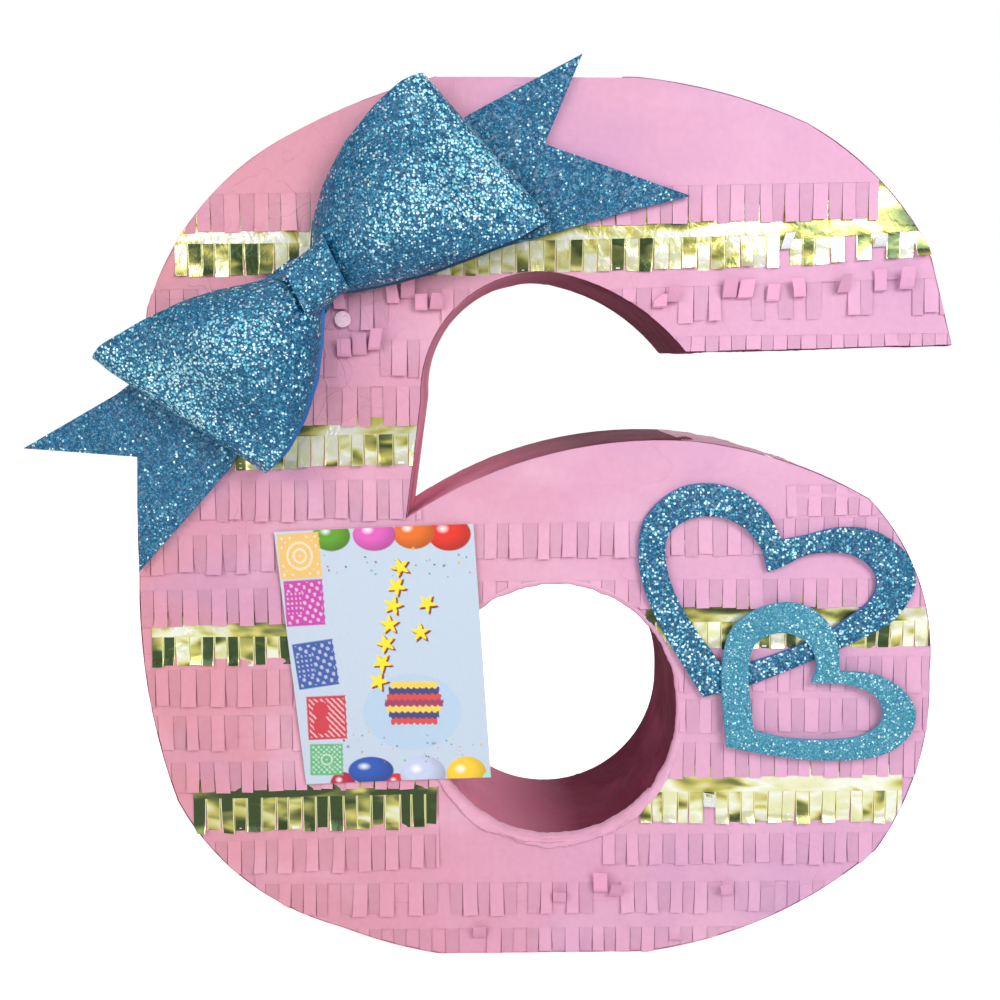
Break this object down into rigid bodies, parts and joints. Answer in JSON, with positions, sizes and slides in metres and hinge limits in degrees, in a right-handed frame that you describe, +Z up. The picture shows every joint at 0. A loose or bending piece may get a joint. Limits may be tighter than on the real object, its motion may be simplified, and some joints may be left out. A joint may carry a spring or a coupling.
{
  "type": "pinata",
  "caption": "Hollow cardboard party pinata in the shape of the numeral six, covered in pink paper and foil fringe, with a glitter foam bow and hearts, hanging holes and a hinged fill door.",
  "frame": {"origin": "middle of the flat underside that it stands on", "axes": "+Z up, +X to the right of the decorated front, which faces -Y"},
  "size_m": [0.5267, 0.1516, 0.5222],
  "materials": {
    "corrugated_cardboard": "matte",
    "pink_crepe": "matte",
    "pink_wrap_paper": "matte",
    "gold_foil": "gloss",
    "glitter_foam": "satin",
    "glitter_foam_light": "satin",
    "hot_glue": "satin",
    "printed_card": "satin",
    "masking_tape": "matte",
    "pull_ribbon": "matte"
  },
  "bodies": {
    "root": {"arm_end_paper": "pink_wrap_paper", "arm_end_wall": "corrugated_cardboard", "arm_side_paper": "pink_wrap_paper", "arm_side_wall": "corrugated_cardboard", "back_panel": "corrugated_cardboard", "back_paper": "pink_wrap_paper", "base_paper": "pink_wrap_paper", "base_wall": "corrugated_cardboard", "bow_knot": "glitter_foam", "bow_lower_loop": "glitter_foam", "bow_lower_tail": "glitter_foam", "bow_upper_loop": "glitter_foam", "bow_upper_tail": "glitter_foam", "bowl_sheet": "pink_crepe", "bowl_side_paper": "pink_wrap_paper", "bowl_side_wall": "corrugated_cardboard", "bowl_top_paper": "pink_wrap_paper", "bowl_top_wall": "corrugated_cardboard", "door_tape_upper": "masking_tape", "front_panel": "corrugated_cardboard", "front_paper": "pink_wrap_paper", "glue_dabs": "hot_glue", "gold_fringe_01": "gold_foil", "gold_fringe_05": "gold_foil", "gold_fringe_09": "gold_foil", "gold_fringe_13": "gold_foil", "hanger_plate": "corrugated_cardboard", "hole_paper": "pink_wrap_paper", "hole_rim_fold": "pink_wrap_paper", "hole_wall": "corrugated_cardboard", "large_heart": "glitter_foam", "left_side_paper": "pink_wrap_paper", "left_side_wall": "corrugated_cardboard", "notch_paper": "pink_wrap_paper", "notch_wall": "corrugated_cardboard", "party_card": "printed_card", "pink_fringe_00": "pink_crepe", "pink_fringe_02": "pink_crepe", "pink_fringe_03": "pink_crepe", "pink_fringe_04": "pink_crepe", "pink_fringe_06": "pink_crepe", "pink_fringe_07": "pink_crepe", "pink_fringe_08": "pink_crepe", "pink_fringe_10": "pink_crepe", "pink_fringe_11": "pink_crepe", "pink_fringe_12": "pink_crepe", "pink_fringe_14": "pink_crepe", "pink_fringe_15": "pink_crepe", "pink_fringe_16": "pink_crepe", "shoulder_paper": "pink_wrap_paper", "shoulder_wall": "corrugated_cardboard", "small_heart": "glitter_foam_light", "top_paper": "pink_wrap_paper", "top_wall": "corrugated_cardboard"},
    "fill_door": {"fill_door": "corrugated_cardboard", "fill_door_paper": "pink_wrap_paper", "door_tape_lower": "masking_tape", "door_pull_tab": "pull_ribbon"}
  },
  "joints": [
    {"name": "fill_door_hinge", "type": "hinge", "parent": "root", "child": "fill_door", "pos_m": [-0.15, 0.0504, 0.374], "axis": [1, 0, 0], "range_deg": [0, 110]}
  ]
}
